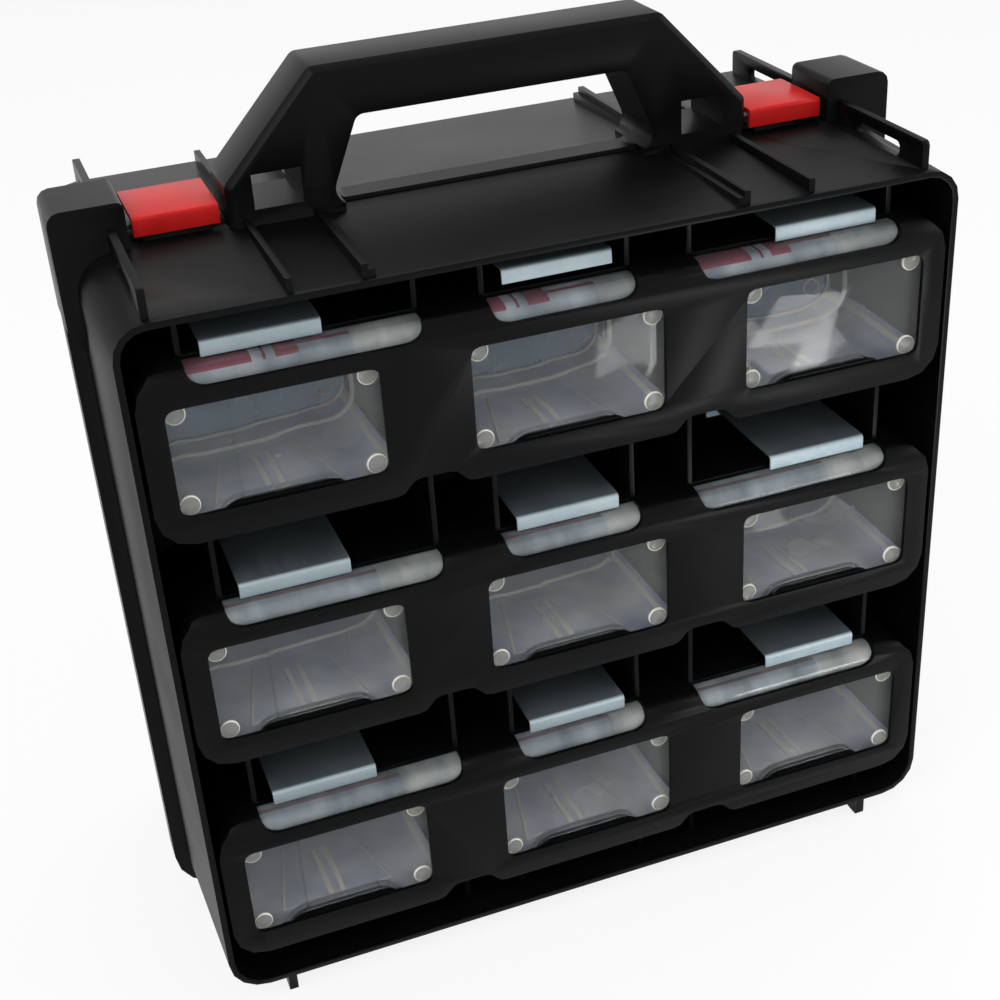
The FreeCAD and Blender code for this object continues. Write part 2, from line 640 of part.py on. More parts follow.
def rear_shell(common):
    """Rear half: the turned moulding, the outer knuckles and the ears of the latches."""
    turned = common.copy()
    turned.rotate(Vector(0, 0, 0), Vector(0, 0, 1), 180)
    ears = []
    hollow = tray()[1]
    hollow.rotate(Vector(0, 0, 0), Vector(0, 0, 1), 180)
    for side in (-1, 1):
        for ear in (-1, 1):
            x = side * LATCH_X + ear * (LATCH_EAR_SPAN - LATCH_EAR_WALL) / 2
            low = x - LATCH_EAR_WALL / 2
            high = x + LATCH_EAR_WALL / 2
            ears.append(x_bar(LATCH_EAR_RADIUS, low, high, LATCH_PIVOT_Y, LATCH_PIVOT_Z, ROUND_SIDES))
            ears.append(block((low, LATCH_PIVOT_Y - LATCH_EAR_RADIUS, RIM_TOP_Z),
                              (high, LATCH_PIVOT_Y + LATCH_EAR_RADIUS, LATCH_PIVOT_Z)).cut(hollow))
    bores = [x_bore(LATCH_PIN_RADIUS + LATCH_RUNNING_FIT, side * LATCH_X - LATCH_EAR_SPAN,
                    side * LATCH_X + LATCH_EAR_SPAN, LATCH_PIVOT_Y, LATCH_PIVOT_Z, ROUND_SIDES)
             for side in (-1, 1)]
    outer = fuse_all([turned] + ears)
    return add_hinge(outer.cut(bores), "rear", "front", 1)


def latch(side):
    """Latch: a plate with a front lip, and a pin under its rear held by two lugs."""
    x = side * LATCH_X
    low = x - LATCH_WIDTH / 2
    high = x + LATCH_WIDTH / 2
    under = LATCH_TOP_Z - LATCH_SHEET
    lip = LATCH_TOP_Z - LATCH_LIP_HEIGHT
    inner = -LATCH_FRONT + LATCH_SHEET
    outline = [(-LATCH_FRONT, lip), (inner, lip), (inner, under), (LATCH_REAR, under),
               (LATCH_REAR, LATCH_TOP_Z), (-LATCH_FRONT, LATCH_TOP_Z)]
    radii = [0, 0, 0, 0, LATCH_CORNER_RADIUS, LATCH_CORNER_RADIUS]
    solids = [prism_along_x(rounded_polygon(outline, radii, CORNER_STEP), low, high)]
    ear_inner = LATCH_EAR_SPAN / 2 - LATCH_EAR_WALL
    for lug in (-1, 1):
        outer_face = x + lug * (ear_inner - LATCH_LUG_GAP)
        inner_face = outer_face - lug * LATCH_LUG_WALL
        lug_low, lug_high = sorted((outer_face, inner_face))
        near = LATCH_PIVOT_Y - LATCH_LUG_RADIUS
        far = LATCH_PIVOT_Y + LATCH_LUG_RADIUS
        low_end = LATCH_PIVOT_Z - LATCH_LUG_RADIUS
        high_end = under + LATCH_SHEET / 2
        profile = rounded_polygon([(near, high_end), (near, low_end), (far, low_end), (far, high_end)],
                                  [0, LATCH_LUG_RADIUS, LATCH_LUG_RADIUS, 0])
        solids.append(prism_along_x(profile, lug_low, lug_high))
    solids.append(x_bar(LATCH_PIN_RADIUS, x - LATCH_EAR_SPAN / 2, x + LATCH_EAR_SPAN / 2,
                        LATCH_PIVOT_Y, LATCH_PIVOT_Z, ROUND_SIDES))
    return fuse_all(solids)


def hinge_pins():
    """Steel pins through the knuckles."""
    reach = KNUCKLE_WIDTH * 1.5 + KNUCKLE_GAP
    return [x_cylinder(HINGE_PIN_RADIUS, x - reach, x + reach, 0, HINGE_Z) for x in HINGE_POSITIONS]


def box_outline(x, z, inset):
    """Front outline of a storage box."""
    radius = max(BOX_CORNER_RADIUS - inset, OVERLAP)
    return rectangle(x - BOX_WIDTH / 2 + inset, x + BOX_WIDTH / 2 - inset, z + BOX_BOTTOM + inset,
                     z + BOX_TOP - inset, [radius] * 4, BOX_STEP)


def box_body(x, z, wall):
    """Outer body of a box, or its inside when the wall is given."""
    front = BOX_FRONT + wall
    chamfer = BOX_EDGE_CHAMFER
    end = BOX_BACK + (OVERLAP if wall else 0)
    nose = drafted(box_outline(x, z, wall + chamfer), box_outline(x, z, wall), deep(front),
                   deep(front + chamfer))
    return nose.fuse(prism_along_y(box_outline(x, z, wall), deep(front + chamfer), deep(end)))


def clip_ears(x, z):
    """Two ears on a box's top side with the bar that carries its clip."""
    solids = []
    pivot_y = deep(CLIP_PIVOT_DEPTH)
    pivot_z = z + CLIP_PIVOT_HEIGHT
    for side in (-1, 1):
        near = x + side * CLIP_EAR_SPAN / 2
        low, high = sorted((near, near + side * CLIP_EAR_WALL))
        solids.append(block((low, pivot_y - CLIP_EAR_REACH, z + BOX_TOP - BOX_WALL / 2),
                            (high, pivot_y + CLIP_EAR_REACH, pivot_z + CLIP_EAR_REACH)))
    reach = CLIP_EAR_SPAN / 2 + CLIP_EAR_WALL / 2
    solids.append(x_bar(CLIP_BAR_RADIUS, x - reach, x + reach, pivot_y, pivot_z, CLIP_BAR_SIDES))
    return solids


def storage_box(x, z):
    """Clear box: thin shell with two dividers and clip ears."""
    outer = fuse_all([box_body(x, z, 0)] + clip_ears(x, z))
    inside = box_body(x, z, BOX_WALL)
    shell = outer.cut(inside)
    dividers = []
    for side in (-1, 1):
        at = x + side * DIVIDER_SPACING / 2
        dividers.append(block((at - DIVIDER_WALL / 2, deep(BOX_FRONT + BOX_WALL / 2), z + BOX_BOTTOM),
                              (at + DIVIDER_WALL / 2, deep(BOX_FRONT + DIVIDER_HEIGHT), z + BOX_TOP)))
    dividers = [divider.common(inside) for divider in dividers]
    return fuse_all([shell] + dividers)


def box_lid(x, z):
    """Lid: a plate over the box's open end, a plug inside it and a finger tab."""
    plate = prism_along_y(box_outline(x, z, -LID_OVERHANG), deep(BOX_BACK),
                          deep(BOX_BACK + LID_PLATE))
    plug = prism_along_y(box_outline(x, z, BOX_WALL + LID_PLUG_CLEARANCE),
                         deep(BOX_BACK - LID_PLUG_DEPTH), deep(BOX_BACK + LID_PLATE / 2))
    tab_low = z + BOX_BOTTOM - LID_OVERHANG - LID_TAB_REACH
    tab = block((x - LID_TAB_WIDTH / 2, deep(BOX_BACK), tab_low),
                (x + LID_TAB_WIDTH / 2, deep(BOX_BACK + LID_PLATE), z + BOX_BOTTOM))
    return fuse_all([plate, plug, tab])


def spring_clip(x, z, angle):
    """Sheet-metal clip: a front lip, a plate over the roof and a rear end folded round the bar."""
    pivot_y = deep(CLIP_PIVOT_DEPTH)
    pivot_z = z + CLIP_PIVOT_HEIGHT
    top = z + CLIP_PLATE_TOP
    front = deep(CLIP_FRONT)
    rear = pivot_y + CLIP_HOOK_OUTER
    under = pivot_z - CLIP_HOOK_OUTER
    lip = z + BAND_TOP - DUCT_WALL - RAIL_GAP + CLIP_LIP_GAP
    outline = [(front, lip), (front + CLIP_SHEET, lip), (front + CLIP_SHEET, top - CLIP_SHEET),
               (rear - CLIP_SHEET, top - CLIP_SHEET), (rear - CLIP_SHEET, under + CLIP_SHEET),
               (pivot_y - CLIP_BAR_RADIUS, under + CLIP_SHEET), (pivot_y - CLIP_BAR_RADIUS, under),
               (rear, under), (rear, top), (front, top)]
    radii = [0, 0, 0, CLIP_HOOK_INNER, 0, 0, 0, 0, CLIP_HOOK_OUTER, CLIP_BEND_RADIUS]
    steps = [0] * 8 + [COARSE_STEP, COARSE_STEP]
    clip = prism_along_x(rounded_polygon(outline, radii, steps), x - CLIP_WIDTH / 2,
                         x + CLIP_WIDTH / 2)
    clip.rotate(Vector(0, pivot_y, pivot_z), Vector(1, 0, 0), -angle)
    return clip


def label_rail(z):
    """Clear strip that lines the curved top of a band behind its notches."""
    outer = BAND_CURVE_RADIUS - DUCT_WALL - RAIL_GAP
    inner = outer - RAIL_THICKNESS
    bend_y = deep(BAND_CURVE_RADIUS)
    bend_z = z + BAND_CURVE_START
    low = bend_z - RAIL_LEG
    back = deep(NOTCH_DEPTH + RAIL_LEG)
    points = [(bend_y - outer, low), (bend_y - inner, low), (bend_y - inner, bend_z + inner),
              (back, bend_z + inner), (back, bend_z + outer), (bend_y - outer, bend_z + outer)]
    side = DUCT_HALF_WIDTH - BAND_END_RADIUS
    return prism_along_x(rounded_polygon(points, [0, 0, inner, 0, 0, outer], COARSE_STEP), -side, side)


def turned_to_rear(shape):
    """The same piece in the rear half."""
    copy = shape.copy()
    copy.rotate(Vector(0, 0, 0), Vector(0, 0, 1), 180)
    return copy


def save(name, shapes):
    """Write one node: a solid, or a group of separate solids."""
    solids = [solid for shape in shapes for solid in shape.Solids]
    for solid in solids:
        if not solid.isValid():
            raise ValueError(name + " is not a valid solid")
    shape = solids[0] if len(solids) == 1 else Part.makeCompound(solids)
    shape.exportStep("parts/" + name + ".step")


def main():
    """Build every node and write its file."""
    os.makedirs("parts", exist_ok=True)
    common = common_half()
    save("front_shell", [front_shell(common)])
    save("rear_shell", [rear_shell(common)])
    save("latch_left", [latch(-1)])
    save("latch_right", [latch(1)])
    save("hinge_pins", hinge_pins())
    column_names = {-1: "left", 0: "centre", 1: "right"}
    rails = [label_rail(cell_centre(0, row)[1]) for _, row in ROWS]
    save("front_label_rails", rails)
    save("rear_label_rails", [turned_to_rear(rail) for rail in rails])
    for row_name, row in ROWS:
        lids = []
        for column in COLUMNS:
            x, z = cell_centre(column, row)
            name = row_name + "_" + column_names[column]
            box = storage_box(x, z)
            clip = spring_clip(x, z, 0)
            raised = (row_name, column) == RAISED_CLIP
            front_clip = spring_clip(x, z, RAISED_CLIP_ANGLE) if raised else clip
            lids.append(box_lid(x, z))
            save("front_box_" + name, [box])
            save("front_clip_" + name, [front_clip])
            save("rear_box_" + name, [turned_to_rear(box)])
            save("rear_clip_" + name, [turned_to_rear(clip)])
        save("front_lids_" + row_name, lids)
        save("rear_lids_" + row_name, [turned_to_rear(lid) for lid in lids])


main()
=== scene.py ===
import math

import bmesh
import bpy
from mathutils import Matrix, Vector


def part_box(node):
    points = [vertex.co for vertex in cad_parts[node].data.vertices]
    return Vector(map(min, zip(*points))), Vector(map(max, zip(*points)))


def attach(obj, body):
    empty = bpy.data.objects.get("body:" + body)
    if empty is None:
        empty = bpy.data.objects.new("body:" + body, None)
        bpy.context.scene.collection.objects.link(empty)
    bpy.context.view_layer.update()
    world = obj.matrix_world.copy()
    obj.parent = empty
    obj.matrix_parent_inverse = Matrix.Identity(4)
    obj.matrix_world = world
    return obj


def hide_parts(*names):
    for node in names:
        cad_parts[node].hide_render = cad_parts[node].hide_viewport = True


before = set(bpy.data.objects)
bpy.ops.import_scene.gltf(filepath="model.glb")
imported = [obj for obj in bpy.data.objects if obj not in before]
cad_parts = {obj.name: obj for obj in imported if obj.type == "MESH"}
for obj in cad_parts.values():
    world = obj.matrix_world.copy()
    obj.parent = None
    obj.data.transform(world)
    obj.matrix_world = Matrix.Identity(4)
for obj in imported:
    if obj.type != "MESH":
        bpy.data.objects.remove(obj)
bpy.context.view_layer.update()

# Assortment case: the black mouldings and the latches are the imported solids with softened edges,
# and the clear boxes, lids, clips and label strips are modelled here in their places.
# Metres, in the part's own frame.

# Camera of the photograph
CAMERA_PLACE = (-0.2429, -0.7166, 0.6315)
CAMERA_TURN = (60.202, 3.449, -20.342)
CAMERA_LENS = 59.52
SENSOR_WIDTH = 36.0

# Halves, rows and columns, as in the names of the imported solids
HALVES = ("front", "rear")
ROWS = ("top", "middle", "bottom")
COLUMNS = ("left", "centre", "right")
COLUMN_PITCH = 0.133
MIDDLE_Z = 0.192

# Picking edges and faces: same place, an edge that runs back, a face that looks along an axis
SAME_PLACE = 0.00001
RUN_BACK = 0.001
FACING = 0.9

# Storage box, around the centre of its window; depths run back from the front rim
RIM_Y = -0.098
BOX_HALF_WIDTH = 0.055
BOX_BOTTOM = -0.036
BOX_TOP = 0.0387
BOX_FRONT = RIM_Y + 0.0045
BOX_BACK = RIM_Y + 0.093
BOX_CORNER = 0.016
BOX_NOSE = 0.0045
BOX_WALL = 0.0015
BOX_RIM = 0.0015
BOX_FLOOR = BOX_BOTTOM + BOX_WALL * 0.9

# Studs on the front of a box
STUD_RADIUS = 0.0047
STUD_HEIGHT = 0.0012
STUD_X = 0.0415
STUD_Z = 0.0215
STUD_RIM = 0.0008
STUD_DISH = 0.0005
STUD_SOFT = 0.0005

# Foot recess of a box, and the black block with its lip that stands in it: painted shade, a dark
# stand-in for the shadow in the recess
RECESS_HALF_TOP = 0.0235
RECESS_HALF_BOTTOM = 0.0335
RECESS_HEIGHT = 0.0098
RECESS_DEPTH = 0.0062
RECESS_ROUND = 0.0045
CUTTER_FRONT = BOX_FRONT - 0.01
CUTTER_FOOT = 0.004
SHADE_BLOCK_GAP = 0.0007
SHADE_BLOCK_FRONT = RIM_Y + 0.0015
SHADE_BLOCK_FOOT = 0.0025
LIP_RISE = 0.0022
LIP_CLEARANCE = 0.0003

# Inside of a box: step near the lid, dividers, tapered platform and ridges on the floor
STEP_Y = RIM_Y + 0.0755
STEP_LENGTH = 0.0016
STEP_HEIGHT = 0.0013
STEP_SINK = BOX_WALL * 0.7
STEP_SOFT = 0.0003
DIVIDER_X = 0.0185
DIVIDER_WALL = 0.0014
DIVIDER_BACK = RIM_Y + 0.0495
DIVIDER_INSET = BOX_WALL * 1.1
SCOOP_FRONT = RIM_Y + 0.019
SCOOP_BACK = RIM_Y + 0.067
SCOOP_HALF_FRONT = 0.030
SCOOP_HALF_BACK = 0.0185
SCOOP_HEIGHT = 0.0021
SCOOP_SOFT = SCOOP_HEIGHT * 0.8
RIDGE_X = 0.0031
RIDGE_HALF = 0.0017
RIDGE_HEIGHT = 0.0030
RIDGE_BACK = RIM_Y + 0.058
RIDGE_SOFT = 0.0008

# Ears on a box and the bar between them, round which the clip is folded
PIVOT_Y = RIM_Y + 0.082
PIVOT_Z = 0.04594
EAR_INNER = 0.0265
EAR_OUTER = 0.0295
EAR_REACH = 0.0028
EAR_ROOT = 0.0002
EAR_SOFT = 0.0006
BAR_RADIUS = 0.0015
BAR_END = 0.001

# Spring clip
CLIP_HALF_WIDTH = 0.026
CLIP_TOP = 0.0485
CLIP_FRONT = RIM_Y + 0.0115
CLIP_LIP = 0.041
CLIP_SHEET = 0.001
CLIP_BEND = 0.0017
CLIP_FOLD = 240
CLIP_SOFT = 0.00018
CLIP_SOFT_ANGLE = 50
RAISED_TURN = 4.5

# Lid
LID_PLATE = 0.002
LID_SOFT = 0.0004
LID_PLUG = 0.0015
LID_PLUG_GAP = 0.0003
LID_PLUG_WALL = 0.0016
LID_TAB_HALF = 0.012
LID_TAB_REACH = 0.003
LID_TAB_ROOT = 0.001
LID_TAB_SOFT = 0.0006
LID_RING_X = 0.0435
LID_RING_LOW = -0.0245
LID_RING_HIGH = 0.0272
LID_RING_RADIUS = 0.0045
LID_RING_WIRE = 0.0004

# Label strip along the curved top of a band
CURVE_Y = RIM_Y + 0.0095
CURVE_Z = 0.033
STRIP_OUTER = 0.0072
STRIP_SHEET = 0.0012
STRIP_LEG = 0.004
STRIP_BACK = RIM_Y + 0.019
STRIP_HALF = 0.1745

# Printed card inside the strip of each cell, measured from the card's left end
CARD_THICKNESS = 0.00016
CARD_WIDTH = 0.072
CARD_LENGTH = 0.106
CARD_LEFT = {"left": -0.035, "centre": -0.0555, "right": -0.070}
CARD_BAND = 0.049
CARD_GAPS = ((0.0288, 0.0335), (0.0349, 0.0389))
CARD_LINE = (0.0002, 0.0028)
CARD_BAND_ANGLE = 48

# Rounded corners of the windows and of the notches above them; both lie further from the split
# than the back of the bands
WINDOW_HALF_WIDTH = 0.0461
WINDOW_HALF_HEIGHT = 0.0253
WINDOW_ROUND = 0.004
NOTCH_OUTER = 0.0345
NOTCH_INNER = 0.068
NOTCH_LOW = 0.033
NOTCH_ROUND = 0.007
BAND_BACK = 0.081
CORNER_REACH = 0.52
CORNER_BEVEL = 0.3
CORNER_EDGE = 0.0005

# Edges of the mouldings that are softened: sharper than this, and off the split between the halves
SOFT_ANGLE = math.radians(40)
SPLIT_GAP = 0.0006
FLAT_ANGLE = math.radians(0.5)
SHELL_SOFT = 0.0005
LATCH_SOFT = 0.0007

# Depth of the fine relief in the finishes
GRAIN_DEPTH = 0.0001

# Floor, light of the world, and lamps as name, place, aim, size and power
FLOOR_SIZE = 12
FLOOR_DROP = 0.0002
FLOOR_WHITE = 0.86
WORLD_LIGHT = 0.55
LAMPS = (("key_softbox", (-1.3, -1.2, 1.9), (0, 0, 0.2), 1.2, 22),
         ("right_softbox", (1.6, -0.9, 1.2), (0, 0, 0.2), 0.8, 8),
         ("top_softbox", (0.1, 0.5, 2.0), (0, 0, 0.3), 1.0, 10),
         ("low_softbox", (0.325, -0.53, 0.09), (0.325, 0, 0.09), 0.13, 0.8))


def deselect_all():
    """Nothing selected."""
    bpy.ops.object.select_all(action="DESELECT")


def take(piece):
    """Only this piece selected and active."""
    deselect_all()
    piece.select_set(True)
    bpy.context.view_layer.objects.active = piece
    return piece


def settle(piece):
    """Place, turn and size go into the mesh."""
    take(piece)
    bpy.ops.object.transform_apply(location=True, rotation=True, scale=True)
    return piece


def add_block(name, low, high):
    """A block between two corners, ready to be shaped."""
    centre = [(a + b) / 2 for a, b in zip(low, high)]
    bpy.ops.mesh.primitive_cube_add(size=1, location=centre)
    piece = bpy.context.object
    piece.name = name
    piece.scale = [b - a for a, b in zip(low, high)]
    return settle(piece)


def add_rod(name, radius, length, centre, turn, sides=32):
    """A round bar, ready to be shaped."""
    bpy.ops.mesh.primitive_cylinder_add(vertices=sides, radius=radius, depth=length,
                                        location=centre, rotation=turn)
    piece = bpy.context.object
    piece.name = name
    return settle(piece)


def open_up(piece, kind):
    """Edit mode with nothing selected."""
    take(piece)
    bpy.ops.object.mode_set(mode="EDIT")
    bpy.ops.mesh.select_mode(type=kind)
    bpy.ops.mesh.select_all(action="DESELECT")


def close_up():
    """Back to object mode."""
    bpy.ops.object.mode_set(mode="OBJECT")


def pick_edges(piece, wanted):
    """Select edges by the places of their two ends and by the edge itself."""
    mesh = bmesh.from_edit_mesh(piece.data)
    for edge in mesh.edges:
        edge.select_set(wanted(edge.verts[0].co, edge.verts[1].co, edge))
    bmesh.update_edit_mesh(piece.data)


def pick_faces(piece, wanted):
    """Select faces by their centre and normal."""
    mesh = bmesh.from_edit_mesh(piece.data)
    for face in mesh.faces:
        face.select_set(wanted(face.calc_center_median(), face.normal))
    bmesh.update_edit_mesh(piece.data)


def pick_running_back(piece):
    """Select the edges of a block that run from front to back."""
    pick_edges(piece, lambda a, b, edge: abs(a.y - b.y) > RUN_BACK)


def bevel(offset, segments):
    """Bevel what is selected."""
    bpy.ops.mesh.bevel(offset=offset, offset_type="OFFSET", segments=segments, affect="EDGES")


def bend(steps, degrees, centre_y, centre_z):
    """Sweep the selected edge round an axis along x; a positive angle takes the top forward."""
    bpy.ops.mesh.spin(steps=steps, angle=-math.radians(degrees), center=(0, centre_y, centre_z),
                      axis=(1, 0, 0))


def extrude(move):
    """Extrude what is selected by a move."""
    bpy.ops.mesh.extrude_region_move(TRANSFORM_OT_translate={"value": move})


def face_outward(merge=False):
    """All normals of the open mesh outward, after its double points are merged where asked."""
    bpy.ops.mesh.select_all(action="SELECT")
    if merge:
        bpy.ops.mesh.remove_doubles(threshold=SAME_PLACE)
    bpy.ops.mesh.normals_make_consistent(inside=False)


def soften(piece, width, segments=2, angle=40):
    """Rounded edges over the whole piece."""
    take(piece)
    modifier = piece.modifiers.new("soft_edges", "BEVEL")
    modifier.width = width
    modifier.segments = segments
    modifier.limit_method = "ANGLE"
    modifier.angle_limit = math.radians(angle)
    bpy.ops.object.modifier_apply(modifier=modifier.name)


def thicken(piece, thickness, offset):
    """A wall from a sheet."""
    take(piece)
    modifier = piece.modifiers.new("wall", "SOLIDIFY")
    modifier.thickness = thickness
    modifier.offset = offset
    modifier.use_even_offset = True
    bpy.ops.object.modifier_apply(modifier=modifier.name)


def cut_away(piece, cutter):
    """Cut one piece with another, which is used up."""
    take(piece)
    modifier = piece.modifiers.new("cut", "BOOLEAN")
    modifier.operation = "DIFFERENCE"
    modifier.solver = "EXACT"
    modifier.object = cutter
    bpy.ops.object.modifier_apply(modifier=modifier.name)
    bpy.data.objects.remove(cutter)


def join_to(piece, others):
    """Several meshes become one piece."""
    take(piece)
    for other in others:
        other.select_set(True)
    bpy.ops.object.join()
    return piece


def round_shading(piece, angle=35):
    """Smooth shading across gentle angles."""
    take(piece)
    bpy.ops.object.shade_smooth_by_angle(angle=math.radians(angle))


def copy_piece(piece, name, matrix):
    """A copy with its own mesh, moved in its mesh."""
    twin = bpy.data.objects.new(name, piece.data.copy())
    bpy.context.scene.collection.objects.link(twin)
    twin.data.transform(matrix)
    return twin


def place_in(half, column, row):
    """Matrix from a piece at the middle of its cell to a cell of a half."""
    low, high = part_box(f"front_box_{row}_{column}")
    across = (low.x + high.x) / 2
    up = low.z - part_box("front_box_middle_centre")[0].z + MIDDLE_Z
    shift = Matrix.Translation((across, 0, up))
    if half == "rear":
        return Matrix.Rotation(math.pi, 4, "Z") @ shift
    return shift


def finish_with(piece, *materials):
    """The finishes of a piece; its faces start with the first."""
    piece.data.materials.clear()
    for material in materials:
        piece.data.materials.append(material)


def paint(piece, number, wanted):
    """Give one of its finishes to the faces that a test picks by centre and normal."""
    for face in piece.data.polygons:
        if wanted(face.center, face.normal):
            face.material_index = number


def dress(piece, body, slot, *nodes):
    """Body of a piece, and the nodes that it stands for, which are hidden; the slot is not used."""
    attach(piece, body)
    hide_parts(*nodes)


# Finishes


class Finish:
    """A node material that reads Object coordinates."""

    def __init__(self, name):
        self.material = bpy.data.materials.new(name)
        self.material.use_nodes = True
        self.tree = self.material.node_tree
        self.shader = self.tree.nodes["Principled BSDF"]
        self.place = self.add("ShaderNodeTexCoord").outputs["Object"]

    def add(self, kind):
        """A new node."""
        return self.tree.nodes.new(kind)

    def join(self, source, target):
        """A link from an output to an input."""
        self.tree.links.new(source, target)

    def noise(self, scale, detail, stretch=(1, 1, 1)):
        """Noise over the piece, stretched along an axis where that is below one."""
        mapping = self.add("ShaderNodeMapping")
        mapping.inputs["Scale"].default_value = stretch
        self.join(self.place, mapping.inputs["Vector"])
        node = self.add("ShaderNodeTexNoise")
        node.inputs["Scale"].default_value = scale
        node.inputs["Detail"].default_value = detail
        self.join(mapping.outputs["Vector"], node.inputs["Vector"])
        return node.outputs["Fac"]

    def colour(self, source, low, high, start=0.3, end=0.7):
        """Base colour between two tints along a noise."""
        node = self.add("ShaderNodeValToRGB")
        for element, at, tint in zip(node.color_ramp.elements, (start, end), (low, high)):
            element.position = at
            element.color = (*tint, 1)
        self.join(source, node.inputs["Fac"])
        self.join(node.outputs["Color"], self.shader.inputs["Base Color"])

    def roughness(self, source, low, high):
        """Roughness between two values along a noise."""
        node = self.add("ShaderNodeMapRange")
        node.inputs["To Min"].default_value = low
        node.inputs["To Max"].default_value = high
        self.join(source, node.inputs["Value"])
        self.join(node.outputs["Result"], self.shader.inputs["Roughness"])

    def relief(self, source, strength):
        """Fine relief in the surface along a noise."""
        node = self.add("ShaderNodeBump")
        node.inputs["Strength"].default_value = strength
        node.inputs["Distance"].default_value = GRAIN_DEPTH
        self.join(source, node.inputs["Height"])
        self.join(node.outputs["Normal"], self.shader.inputs["Normal"])

    def set(self, name, value):
        """One value for the whole surface."""
        self.shader.inputs[name].default_value = value


def black_plastic():
    """Satin black moulding: fine spark texture, faint flow marks and slightly uneven gloss."""
    finish = Finish("black_moulded_plastic")
    flow = finish.noise(14, 5, (1, 1, 2.5))
    finish.colour(flow, (0.0012, 0.0014, 0.0013), (0.0026, 0.0029, 0.0028))
    finish.roughness(flow, 0.28, 0.42)
    finish.set("Specular IOR Level", 0.08)
    finish.relief(finish.noise(2600, 2), 0.12)
    return finish.material


def red_plastic():
    """Glossy red moulding of the latches."""
    finish = Finish("red_moulded_plastic")
    cloud = finish.noise(60, 4)
    finish.colour(cloud, (0.46, 0.010, 0.009), (0.58, 0.016, 0.014))
    finish.roughness(cloud, 0.28, 0.40)
    finish.set("Specular IOR Level", 0.14)
    finish.relief(finish.noise(900, 2), 0.08)
    return finish.material


def clear_plastic(name, low, high, transmission, rough, index):
    """Moulded plastic that lets light through, with a faint wave in its surface."""
    finish = Finish(name)
    cloud = finish.noise(22, 3)
    finish.colour(cloud, low, high)
    finish.roughness(cloud, rough * 0.7, rough * 1.3)
    finish.set("Transmission Weight", transmission)
    finish.set("IOR", index)
    finish.relief(finish.noise(70, 3), 0.10)
    return finish.material


def sheet_steel():
    """Satin sheet steel with fine rolling lines along its length."""
    finish = Finish("satin_sheet_steel")
    lines = finish.noise(700, 3, (1, 0.04, 1))
    finish.colour(finish.noise(30, 4), (0.30, 0.365, 0.40), (0.38, 0.445, 0.475))
    finish.roughness(lines, 0.48, 0.66)
    finish.set("Metallic", 1.0)
    finish.relief(lines, 0.05)
    return finish.material


def pin_steel():
    """Plain drawn steel of the hinge pins."""
    finish = Finish("drawn_steel")
    lines = finish.noise(900, 2, (0.05, 1, 1))
    finish.colour(lines, (0.40, 0.40, 0.41), (0.52, 0.52, 0.53))
    finish.roughness(lines, 0.25, 0.4)
    finish.set("Metallic", 1.0)
    return finish.material


def printed_card(name, low, high, transmission):
    """Matt printed film of a label, which lets some light through where it is pale."""
    finish = Finish(name)
    fibre = finish.noise(70, 4, (1, 0.4, 0.4))
    finish.colour(fibre, low, high, 0.35, 0.65)
    finish.roughness(fibre, 0.45, 0.6)
    finish.set("Transmission Weight", transmission)
    finish.set("IOR", 1.2)
    return finish.material


black = black_plastic()
red = red_plastic()
box_clear = clear_plastic("clear_box_plastic", (0.94, 0.96, 0.97), (0.97, 0.98, 0.985),
                          transmission=0.98, rough=0.04, index=1.22)
divider_clear = clear_plastic("clear_divider_plastic", (0.97, 0.97, 0.98), (0.99, 0.99, 0.99),
                              transmission=1.0, rough=0.02, index=1.006)
side_haze = clear_plastic("hazy_box_side", (0.74, 0.75, 0.70), (0.86, 0.86, 0.80),
                          transmission=0.82, rough=0.16, index=1.3)
# Painted highlight: a pale, nearly opaque finish given to edges, rims, fillets and ridges of the
# clear boxes and lids for the bright lines of light they show.
edge_highlight_paint = clear_plastic("painted_edge_highlight", (0.78, 0.76, 0.70), (0.88, 0.86, 0.80),
                             transmission=0.05, rough=0.22, index=1.3)
# Hazy floor finish, also put on the lower corners of a box as painted light over their dark
# reflection.
floor_haze_and_corner_light = clear_plastic("hazy_floor_and_corner_light", (0.46, 0.50, 0.64), (0.93, 0.92, 0.92),
                           transmission=0.10, rough=0.25, index=1.3)
lid_clear = clear_plastic("clear_lid_plastic", (0.50, 0.67, 0.84), (0.62, 0.77, 0.90),
                          transmission=0.38, rough=0.28, index=1.3)
strip_clear = clear_plastic("clear_strip_plastic", (0.90, 0.92, 0.94), (0.95, 0.96, 0.97),
                            transmission=0.97, rough=0.06, index=1.25)
steel = sheet_steel()
pins = pin_steel()
card_red = printed_card("printed_card_red", (0.12, 0.010, 0.026), (0.18, 0.018, 0.042), 0)
card_pale = printed_card("printed_card_pale", (0.18, 0.22, 0.25), (0.44, 0.48, 0.50), 0.40)
# Pale translucent sheet for the end of a card past its print: painted light, for the brightness seen
# through the clear end of the strip.
strip_end_light_paint = printed_card("painted_light_strip_end", (0.26, 0.28, 0.27), (0.58, 0.59, 0.55), 0.40)
card_faint = printed_card("faint_card_line", (0.15, 0.10, 0.10), (0.24, 0.17, 0.17), 0.30)


# Black mouldings, latches and pins


def row_height(row):
    """Height of the centre of a row's windows."""
    return (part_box(f"front_box_{row}_centre")[0].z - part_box("front_box_middle_centre")[0].z
            + MIDDLE_Z)


